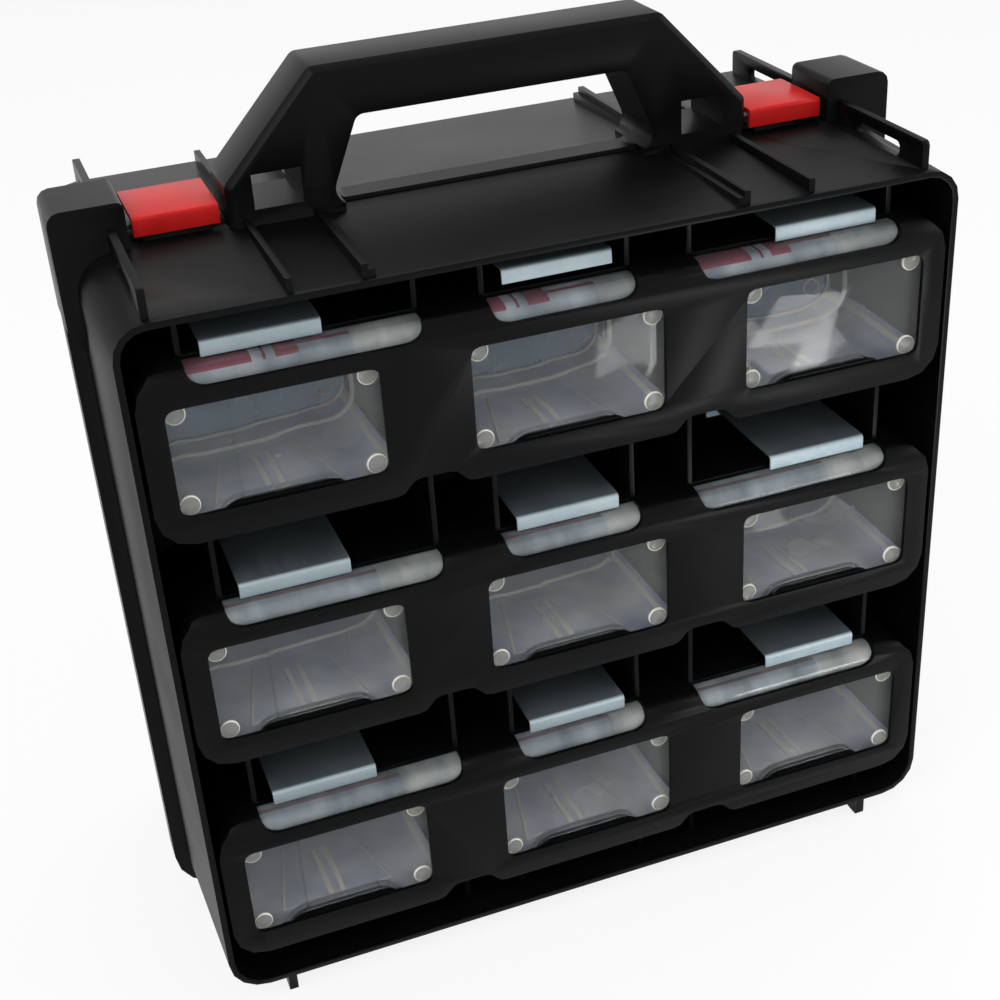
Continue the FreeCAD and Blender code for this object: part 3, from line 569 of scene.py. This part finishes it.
def corner_spots():
    """Middle and radius of every rounded corner of the windows and of the notches above them."""
    spots = []
    window_x = WINDOW_HALF_WIDTH - WINDOW_ROUND / 2
    window_z = WINDOW_HALF_HEIGHT - WINDOW_ROUND / 2
    for row in ROWS:
        height = row_height(row)
        for column in (-1, 0, 1):
            across = column * COLUMN_PITCH
            for side in (-1, 1):
                for end in (-1, 1):
                    spots.append((across + side * window_x, height + end * window_z, WINDOW_ROUND))
                reach = NOTCH_INNER if side == -column else NOTCH_OUTER
                spots.append((across + side * (reach - NOTCH_ROUND / 2),
                              height + NOTCH_LOW + NOTCH_ROUND / 2, NOTCH_ROUND))
    return spots


def round_corners(piece, radius):
    """The flat-sided corners of that radius become round."""
    spots = [spot for spot in corner_spots() if spot[2] == radius]
    reach = radius * CORNER_REACH

    def at_corner(a, b, edge):
        """Whether an edge runs back through a band inside one of the corners."""
        if abs(a.y - b.y) < CORNER_EDGE or min(abs(a.y), abs(b.y)) < BAND_BACK:
            return False
        if math.hypot(a.x - b.x, a.z - b.z) > SAME_PLACE:
            return False
        return any(abs(a.x - x) < reach and abs(a.z - z) < reach for x, z, _ in spots)

    open_up(piece, "EDGE")
    pick_edges(piece, at_corner)
    bevel(radius * CORNER_BEVEL, 3)
    close_up()


def shape_foot(name, gap, front, back, below):
    """Low block with sloping ends and round shoulders: foot recess of a box, the black block of
    painted shade in it, or its lip.
    """
    top = BOX_BOTTOM + RECESS_HEIGHT - gap
    block = add_block(name, (-RECESS_HALF_BOTTOM + gap, front, BOX_BOTTOM - below),
                      (RECESS_HALF_BOTTOM - gap, back, top))
    open_up(block, "FACE")
    pick_faces(block, lambda centre, normal: normal.z > FACING)
    bpy.ops.transform.resize(value=(RECESS_HALF_TOP / RECESS_HALF_BOTTOM, 1, 1),
                             center_override=(0, 0, top))
    close_up()
    open_up(block, "EDGE")
    pick_edges(block, lambda a, b, edge: abs(a.z - b.z) < SAME_PLACE and a.z > BOX_BOTTOM
               and abs(a.y - b.y) > RUN_BACK)
    bevel(RECESS_ROUND, 4)
    close_up()
    return block


def soft_copy(node, width, corners=()):
    """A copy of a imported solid: merged points, clean flats, and soft edges except at the split."""
    piece = copy_piece(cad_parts[node], node + "_moulding", Matrix.Identity(4))
    open_up(piece, "VERT")
    bpy.ops.mesh.select_all(action="SELECT")
    bpy.ops.mesh.remove_doubles(threshold=SAME_PLACE)
    bpy.ops.mesh.dissolve_limited(angle_limit=FLAT_ANGLE)
    close_up()
    for radius in corners:
        round_corners(piece, radius)
    open_up(piece, "EDGE")
    pick_edges(piece, lambda a, b, edge: edge.calc_face_angle(0) > SOFT_ANGLE
               and max(abs(a.y), abs(b.y)) > SPLIT_GAP)
    bpy.ops.mesh.bevel(offset=width, offset_type="OFFSET", segments=2, affect="EDGES",
                       clamp_overlap=True)
    close_up()
    round_shading(piece)
    return piece


# A black block with a lip in every box's foot recess, joined to the shells: painted shade standing
# in for the shadow there.
recess_shade_block = shape_foot("recess_shade_block", SHADE_BLOCK_GAP, SHADE_BLOCK_FRONT, BOX_FRONT + RECESS_DEPTH - SHADE_BLOCK_GAP,
                   SHADE_BLOCK_FOOT)
lip = shape_foot("recess_shade_lip", -LIP_RISE, SHADE_BLOCK_FRONT, BOX_FRONT - LIP_CLEARANCE, SHADE_BLOCK_FOOT)
join_to(recess_shade_block, [lip])
for half in HALVES:
    shell = soft_copy(f"{half}_shell", SHELL_SOFT, (WINDOW_ROUND, NOTCH_ROUND))
    join_to(shell, [copy_piece(recess_shade_block, "recess_shade_copy", place_in(half, column, row))
                    for row in ROWS for column in COLUMNS])
    round_shading(shell)
    finish_with(shell, black)
    dress(shell, f"{half}_half", "shell", f"{half}_shell")

bpy.data.objects.remove(recess_shade_block)

for side in ("left", "right"):
    latch = soft_copy(f"latch_{side}", LATCH_SOFT)
    finish_with(latch, red)
    dress(latch, f"latch_{side}", "latch", f"latch_{side}")

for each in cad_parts["hinge_pins"].material_slots:
    each.material = pins


# Storage boxes, lids, clips and label strips


def shape_stud(x, z):
    """Round stud on the front of a box, dished inside a raised rim."""
    stud = add_rod("stud", STUD_RADIUS, STUD_HEIGHT, (x, BOX_FRONT - STUD_HEIGHT / 2, z),
                   (math.pi / 2, 0, 0))
    open_up(stud, "EDGE")
    pick_edges(stud, lambda a, b, edge: max(a.y, b.y) < BOX_FRONT - STUD_HEIGHT + SAME_PLACE)
    bevel(STUD_SOFT, 2)
    close_up()
    open_up(stud, "FACE")
    pick_faces(stud, lambda centre, normal: normal.y < -0.99)
    bpy.ops.mesh.inset(thickness=STUD_RIM)
    bpy.ops.transform.translate(value=(0, STUD_DISH, 0))
    close_up()
    finish_with(stud, side_haze, edge_highlight_paint)
    # The raised rim is painted pale: a painted highlight ring round the stud.
    paint(stud, 1, lambda centre, normal:
          math.hypot(centre.x - x, centre.z - z) > STUD_RADIUS - STUD_RIM)
    return stud


def shape_step():
    """Low step round the inside of a box, near its lid."""
    ring = add_block("step", (-BOX_HALF_WIDTH + STEP_SINK, STEP_Y, BOX_BOTTOM + STEP_SINK),
                     (BOX_HALF_WIDTH - STEP_SINK, STEP_Y + STEP_LENGTH, BOX_TOP - STEP_SINK))
    open_up(ring, "EDGE")
    pick_running_back(ring)
    bevel(BOX_CORNER - STEP_SINK, 6)
    close_up()
    open_up(ring, "FACE")
    pick_faces(ring, lambda centre, normal: abs(normal.y) > FACING)
    bpy.ops.mesh.inset(thickness=STEP_SINK + STEP_HEIGHT)
    bpy.ops.mesh.bridge_edge_loops()
    face_outward()
    close_up()
    soften(ring, STEP_SOFT)
    # The whole step is painted pale as a painted highlight line round the inside of the box.
    finish_with(ring, edge_highlight_paint)
    return ring


def shape_divider(side):
    """One of the two thin dividers of a box."""
    wall = add_block("divider", (side * DIVIDER_X - DIVIDER_WALL / 2, BOX_FRONT + DIVIDER_INSET,
                                 BOX_BOTTOM + DIVIDER_INSET),
                     (side * DIVIDER_X + DIVIDER_WALL / 2, DIVIDER_BACK, BOX_TOP - DIVIDER_INSET))
    finish_with(wall, divider_clear)
    return wall


def shape_scoop():
    """Low tapered platform on the floor of a box, behind the foot recess."""
    scoop = add_block("scoop", (-SCOOP_HALF_FRONT, SCOOP_FRONT, BOX_FLOOR),
                      (SCOOP_HALF_FRONT, SCOOP_BACK, BOX_FLOOR + SCOOP_HEIGHT))
    open_up(scoop, "FACE")
    pick_faces(scoop, lambda centre, normal: normal.y > FACING)
    bpy.ops.transform.resize(value=(SCOOP_HALF_BACK / SCOOP_HALF_FRONT, 1, 1),
                             center_override=(0, 0, 0))
    close_up()
    open_up(scoop, "EDGE")
    pick_edges(scoop, lambda a, b, edge: min(a.z, b.z) > BOX_FLOOR + SCOOP_HEIGHT / 2)
    bevel(SCOOP_SOFT, 3)
    close_up()
    finish_with(scoop, floor_haze_and_corner_light, edge_highlight_paint)
    # Its sloping shoulders are painted pale as painted highlights along its edges; the rest takes
    # the floor finish.
    paint(scoop, 1, lambda centre, normal: 0.05 < normal.z < 0.98 and normal.y > -0.5)
    return scoop


def shape_ridge(side):
    """One of the two low ridges along the middle of a box's floor."""
    ridge = add_block("ridge", (side * RIDGE_X - RIDGE_HALF, SCOOP_FRONT, BOX_FLOOR),
                      (side * RIDGE_X + RIDGE_HALF, RIDGE_BACK, BOX_FLOOR + RIDGE_HEIGHT))
    soften(ridge, RIDGE_SOFT, 3)
    # Painted pale all over, as painted highlight lines along the floor.
    finish_with(ridge, edge_highlight_paint)
    return ridge


def shape_ear(side):
    """One of the two ears that hold the bar of a box."""
    near, far = sorted((side * EAR_INNER, side * EAR_OUTER))
    ear = add_block("ear", (near, PIVOT_Y - EAR_REACH, BOX_TOP - EAR_ROOT),
                    (far, PIVOT_Y + EAR_REACH, PIVOT_Z + EAR_REACH))
    soften(ear, EAR_SOFT)
    finish_with(ear, box_clear)
    return ear


def shape_body():
    """Clear body of a box: rounded, with a foot recess, hollow, and with a rim at its open back."""
    body = add_block("box_body", (-BOX_HALF_WIDTH, BOX_FRONT, BOX_BOTTOM),
                     (BOX_HALF_WIDTH, BOX_BACK, BOX_TOP))
    open_up(body, "EDGE")
    pick_running_back(body)
    bevel(BOX_CORNER, 8)
    pick_edges(body, lambda a, b, edge: max(a.y, b.y) < BOX_FRONT + SAME_PLACE)
    bevel(BOX_NOSE, 3)
    close_up()
    cut_away(body, shape_foot("foot_recess", 0, CUTTER_FRONT, BOX_FRONT + RECESS_DEPTH,
                              CUTTER_FOOT))
    open_up(body, "FACE")
    pick_faces(body, lambda centre, normal: normal.y > FACING and centre.y > BOX_BACK - SAME_PLACE)
    bpy.ops.mesh.delete(type="FACE")
    bpy.ops.mesh.select_mode(type="EDGE")
    pick_edges(body, lambda a, b, edge: edge.is_boundary and min(a.y, b.y) > BOX_BACK - SAME_PLACE)
    bpy.ops.mesh.extrude_region_move()
    bpy.ops.transform.resize(value=(1 + BOX_RIM / BOX_HALF_WIDTH, 1,
                                    1 + 2 * BOX_RIM / (BOX_TOP - BOX_BOTTOM)),
                             center_override=(0, BOX_BACK, (BOX_BOTTOM + BOX_TOP) / 2))
    face_outward()
    close_up()
    thicken(body, BOX_WALL, -1)
    return body


def tint_body(body):
    """Finishes of a box's body: hazy sides and floor, lower corners painted with the floor finish as
    painted light, and a painted highlight streak along the corners.
    """
    in_corner = BOX_HALF_WIDTH - BOX_CORNER
    finish_with(body, box_clear, edge_highlight_paint, floor_haze_and_corner_light, side_haze)
    paint(body, 3, lambda centre, normal: abs(normal.x) > 0.8
          and abs(centre.x) > BOX_HALF_WIDTH - 2 * BOX_WALL)
    # Lower corner fillets take the pale floor finish: painted light over the dark reflection they
    # would show.
    paint(body, 2, lambda centre, normal: abs(normal.z) > 0.3 and abs(normal.y) < 0.1
          and abs(centre.x) > in_corner and centre.z < BOX_BOTTOM + BOX_CORNER)
    # A narrow band of the corner fillets, facing about 45 degrees, is painted pale: a painted
    # highlight streak.
    paint(body, 1, lambda centre, normal: 0.70 < abs(normal.x) < 0.80 and abs(normal.y) < 0.1
          and abs(centre.x) > in_corner and centre.y > BOX_FRONT + BOX_NOSE)
    paint(body, 2, lambda centre, normal: normal.z > FACING
          and centre.z < BOX_BOTTOM + BOX_WALL * 1.5)


def shape_box():
    """Clear box at the middle of a cell: body, studs, step, platform, ridges, dividers and bar."""
    body = shape_body()
    tint_body(body)
    parts = [shape_stud(x, z) for x in (-STUD_X, STUD_X) for z in (-STUD_Z, STUD_Z)]
    parts += [shape_step(), shape_scoop(), shape_ridge(-1), shape_ridge(1)]
    for side in (-1, 1):
        parts += [shape_divider(side), shape_ear(side)]
    bar = add_rod("bar", BAR_RADIUS, 2 * (EAR_INNER + BAR_END), (0, PIVOT_Y, PIVOT_Z),
                  (0, math.pi / 2, 0), 16)
    finish_with(bar, box_clear)
    parts.append(bar)
    join_to(body, parts)
    round_shading(body)
    return body


def shape_ring(x, z):
    """Round moulded ring in the panel of a lid."""
    bpy.ops.mesh.primitive_torus_add(major_segments=28, minor_segments=6,
                                     major_radius=LID_RING_RADIUS, minor_radius=LID_RING_WIRE,
                                     location=(x, BOX_BACK + LID_PLATE / 2, z),
                                     rotation=(math.pi / 2, 0, 0))
    ring = settle(bpy.context.object)
    # Painted pale all over: a painted highlight ring.
    finish_with(ring, edge_highlight_paint)
    return ring


def shape_lid():
    """Lid behind a box: panel with four moulded rings, raised plug, soft edge and finger tab."""
    plate = add_block("lid", (-BOX_HALF_WIDTH - BOX_RIM, BOX_BACK, BOX_BOTTOM - BOX_RIM),
                      (BOX_HALF_WIDTH + BOX_RIM, BOX_BACK + LID_PLATE, BOX_TOP + BOX_RIM))
    open_up(plate, "EDGE")
    pick_running_back(plate)
    bevel(BOX_CORNER, 6)
    close_up()
    open_up(plate, "FACE")
    pick_faces(plate, lambda centre, normal: normal.y < -FACING)
    bpy.ops.mesh.inset(thickness=BOX_WALL + BOX_RIM + LID_PLUG_GAP)
    extrude((0, -LID_PLUG, 0))
    bpy.ops.mesh.inset(thickness=LID_PLUG_WALL)
    extrude((0, LID_PLUG + LID_PLATE / 2, 0))
    close_up()
    tab = add_block("lid_tab", (-LID_TAB_HALF, BOX_BACK, BOX_BOTTOM - BOX_RIM - LID_TAB_REACH),
                    (LID_TAB_HALF, BOX_BACK + LID_PLATE, BOX_BOTTOM - BOX_RIM + LID_TAB_ROOT))
    soften(tab, LID_TAB_SOFT)
    finish_with(tab, lid_clear)
    finish_with(plate, lid_clear, edge_highlight_paint)
    soften(plate, LID_SOFT)
    # The raised plug is painted pale as a painted highlight line round the panel.
    paint(plate, 1, lambda centre, normal: centre.y < BOX_BACK - LID_PLUG * 0.2)
    rings = [shape_ring(x, z) for x in (-LID_RING_X, LID_RING_X)
             for z in (LID_RING_LOW, LID_RING_HIGH)]
    join_to(plate, [tab] + rings)
    round_shading(plate)
    return plate


def shape_clip():
    """Spring clip at the middle of a cell: sheet bent down at the front and folded at the rear."""
    height = CLIP_TOP - CLIP_SHEET / 2
    front = CLIP_FRONT + CLIP_SHEET / 2 + CLIP_BEND
    bpy.ops.mesh.primitive_plane_add(size=1, location=(0, 0, height))
    strip = bpy.context.object
    strip.name = "clip"
    strip.scale = (2 * CLIP_HALF_WIDTH, PIVOT_Y - front, 1)
    strip.location.y = (PIVOT_Y + front) / 2
    settle(strip)
    open_up(strip, "EDGE")
    pick_edges(strip, lambda a, b, edge: max(a.y, b.y) < front + SAME_PLACE)
    bend(8, 90, front, height - CLIP_BEND)
    extrude((0, 0, CLIP_LIP - (height - CLIP_BEND)))
    pick_edges(strip, lambda a, b, edge: min(a.y, b.y) > PIVOT_Y - SAME_PLACE)
    bend(16, -CLIP_FOLD, PIVOT_Y, PIVOT_Z)
    face_outward(merge=True)
    close_up()
    thicken(strip, CLIP_SHEET, 0)
    soften(strip, CLIP_SOFT, 1, CLIP_SOFT_ANGLE)
    round_shading(strip)
    finish_with(strip, steel)
    return strip


def shape_profile(name, left, right, radius, cuts_x=(), cuts_y=()):
    """A sheet along the curved top of a band, cut across at given places: a flat, a bend, a leg."""
    bpy.ops.mesh.primitive_plane_add(size=1)
    sheet = bpy.context.object
    sheet.name = name
    sheet.scale = (right - left, STRIP_BACK - CURVE_Y, 1)
    sheet.location = ((left + right) / 2, (STRIP_BACK + CURVE_Y) / 2, CURVE_Z + radius)
    settle(sheet)
    open_up(sheet, "EDGE")
    cuts = [((x, 0, 0), (1, 0, 0)) for x in cuts_x] + [((0, y, 0), (0, 1, 0)) for y in cuts_y]
    for place, normal in cuts:
        bpy.ops.mesh.select_all(action="SELECT")
        bpy.ops.mesh.bisect(plane_co=place, plane_no=normal)
    pick_edges(sheet, lambda a, b, edge: max(a.y, b.y) < CURVE_Y + SAME_PLACE)
    bend(8, 90, CURVE_Y, CURVE_Z)
    extrude((0, 0, -STRIP_LEG))
    face_outward(merge=True)
    close_up()
    return sheet


def shape_strip():
    """Clear label strip along a band, at the height of its windows' centre."""
    strip = shape_profile("strip", -STRIP_HALF, STRIP_HALF, STRIP_OUTER - STRIP_SHEET / 2)
    thicken(strip, STRIP_SHEET, 0)
    round_shading(strip)
    finish_with(strip, strip_clear)
    return strip


def shape_card(full_band):
    """Printed card inside the strip: a red band with two gaps on a pale field, or a faint line, and
    a pale end of painted light.
    """
    places = [CARD_BAND, CARD_WIDTH] + [x for gap in CARD_GAPS for x in gap]
    radius = STRIP_OUTER - STRIP_SHEET - CARD_THICKNESS
    card = shape_profile("card", 0, CARD_LENGTH, radius, places, [CURVE_Y + y for y in CARD_LINE])
    finish_with(card, card_pale, card_red if full_band else card_faint, strip_end_light_paint)

    def printed(centre, normal):
        """Whether a face is printed red."""
        in_line = CURVE_Y + CARD_LINE[0] < centre.y < CURVE_Y + CARD_LINE[1]
        if not full_band or centre.x > CARD_BAND:
            return in_line
        rise = math.degrees(math.atan2(centre.z - CURVE_Z, CURVE_Y - centre.y))
        return rise > CARD_BAND_ANGLE and not any(low < centre.x < high for low, high in CARD_GAPS)

    paint(card, 1, printed)
    # Past the printed width the card is painted pale, as painted light seen through the strip's
    # clear end.
    paint(card, 2, lambda centre, normal: centre.x > CARD_WIDTH)
    thicken(card, CARD_THICKNESS, 0)
    round_shading(card)
    return card


def raised():
    """Matrix that lifts a clip about its bar, as the middle one of the top row stands."""
    hinge = Matrix.Translation((0, PIVOT_Y, PIVOT_Z))
    return hinge @ Matrix.Rotation(-math.radians(RAISED_TURN), 4, "X") @ hinge.inverted()


box = shape_box()
lid = shape_lid()
clip = shape_clip()
strip = shape_strip()
cards = {row: shape_card(row == "top") for row in ROWS}

for half in HALVES:
    body = f"{half}_half"
    strips = []
    for row in ROWS:
        lids = []
        for column in COLUMNS:
            cell = place_in(half, column, row)
            name = f"{row}_{column}"
            dress(copy_piece(box, f"{half}_clear_box_{name}", cell),
                  body, "box", f"{half}_box_{name}")
            lids.append(copy_piece(lid, f"{half}_lid_{name}", cell))
            strips.append(copy_piece(cards[row], f"{half}_card_{name}",
                                     cell @ Matrix.Translation((CARD_LEFT[column], 0, 0))))
            if (half, row, column) == ("front", "top", "centre"):
                cell = cell @ raised()
            dress(copy_piece(clip, f"{half}_spring_clip_{name}", cell),
                  f"{half}_clip_{name}", "clip", f"{half}_clip_{name}")
        dress(join_to(lids[0], lids[1:]), body, "lid", f"{half}_lids_{row}")
        strips.append(copy_piece(strip, f"{half}_strip_{row}", place_in(half, "centre", row)))
    rails = join_to(strips[-1], strips[:-1])
    rails.name = f"{half}_label_strips"
    dress(rails, body, "rail", f"{half}_label_rails")

for master in [box, lid, clip, strip] + list(cards.values()):
    bpy.data.objects.remove(master)


# Stage, light and camera


def seen_directly(tree):
    """One for what the camera sees, also in gloss and through glass, and zero for light."""
    path = tree.nodes.new("ShaderNodeLightPath")
    value = path.outputs["Is Camera Ray"]
    for kind in ("Is Glossy Ray", "Is Transmission Ray"):
        larger = tree.nodes.new("ShaderNodeMath")
        larger.operation = "MAXIMUM"
        tree.links.new(value, larger.inputs[0])
        tree.links.new(path.outputs[kind], larger.inputs[1])
        value = larger.outputs[0]
    return value


def white_stage():
    """Pale floor that keeps the shadow and shows white to the camera, gloss and glass."""
    bpy.ops.mesh.primitive_plane_add(size=FLOOR_SIZE, location=(0, 0, -FLOOR_DROP))
    floor = bpy.context.object
    floor.name = "floor"
    material = bpy.data.materials.new("pale_floor")
    material.use_nodes = True
    tree = material.node_tree
    tree.nodes.clear()
    share = tree.nodes.new("ShaderNodeMath")
    share.operation = "MULTIPLY"
    share.inputs[1].default_value = FLOOR_WHITE
    tree.links.new(seen_directly(tree), share.inputs[0])
    matt = tree.nodes.new("ShaderNodeBsdfDiffuse")
    matt.inputs["Color"].default_value = (0.9, 0.9, 0.9, 1)
    glow = tree.nodes.new("ShaderNodeEmission")
    mix = tree.nodes.new("ShaderNodeMixShader")
    out = tree.nodes.new("ShaderNodeOutputMaterial")
    tree.links.new(share.outputs[0], mix.inputs[0])
    tree.links.new(matt.outputs[0], mix.inputs[1])
    tree.links.new(glow.outputs[0], mix.inputs[2])
    tree.links.new(mix.outputs[0], out.inputs["Surface"])
    floor.data.materials.append(material)


def white_world(light):
    """World that lights at a plain level and shows white behind the case."""
    world = bpy.data.worlds.new("studio")
    bpy.context.scene.world = world
    world.use_nodes = True
    tree = world.node_tree
    tree.nodes.clear()
    strength = tree.nodes.new("ShaderNodeMapRange")
    strength.inputs["To Min"].default_value = light
    strength.inputs["To Max"].default_value = 1.0
    tree.links.new(seen_directly(tree), strength.inputs["Value"])
    background = tree.nodes.new("ShaderNodeBackground")
    background.inputs["Color"].default_value = (1, 1, 1, 1)
    out = tree.nodes.new("ShaderNodeOutputWorld")
    tree.links.new(strength.outputs["Result"], background.inputs["Strength"])
    tree.links.new(background.outputs[0], out.inputs["Surface"])


def soft_lamp(name, place, aim, size, power):
    """Square softbox aimed at a point, out of the camera's sight."""
    bpy.ops.object.light_add(type="AREA", location=place)
    lamp = bpy.context.object
    lamp.name = name
    lamp.data.size = size
    lamp.data.energy = power
    lamp.visible_camera = False
    direction = Vector(aim) - Vector(place)
    lamp.rotation_euler = direction.to_track_quat("-Z", "Y").to_euler()


white_stage()
white_world(WORLD_LIGHT)
for lamp_row in LAMPS:
    soft_lamp(*lamp_row)

bpy.ops.object.camera_add(location=CAMERA_PLACE, rotation=[math.radians(a) for a in CAMERA_TURN])
camera = bpy.context.object
camera.data.lens = CAMERA_LENS
camera.data.sensor_width = SENSOR_WIDTH
camera.data.sensor_fit = "HORIZONTAL"
camera.data.dof.use_dof = False
bpy.context.scene.camera = camera
bpy.context.scene.view_settings.view_transform = "Standard"
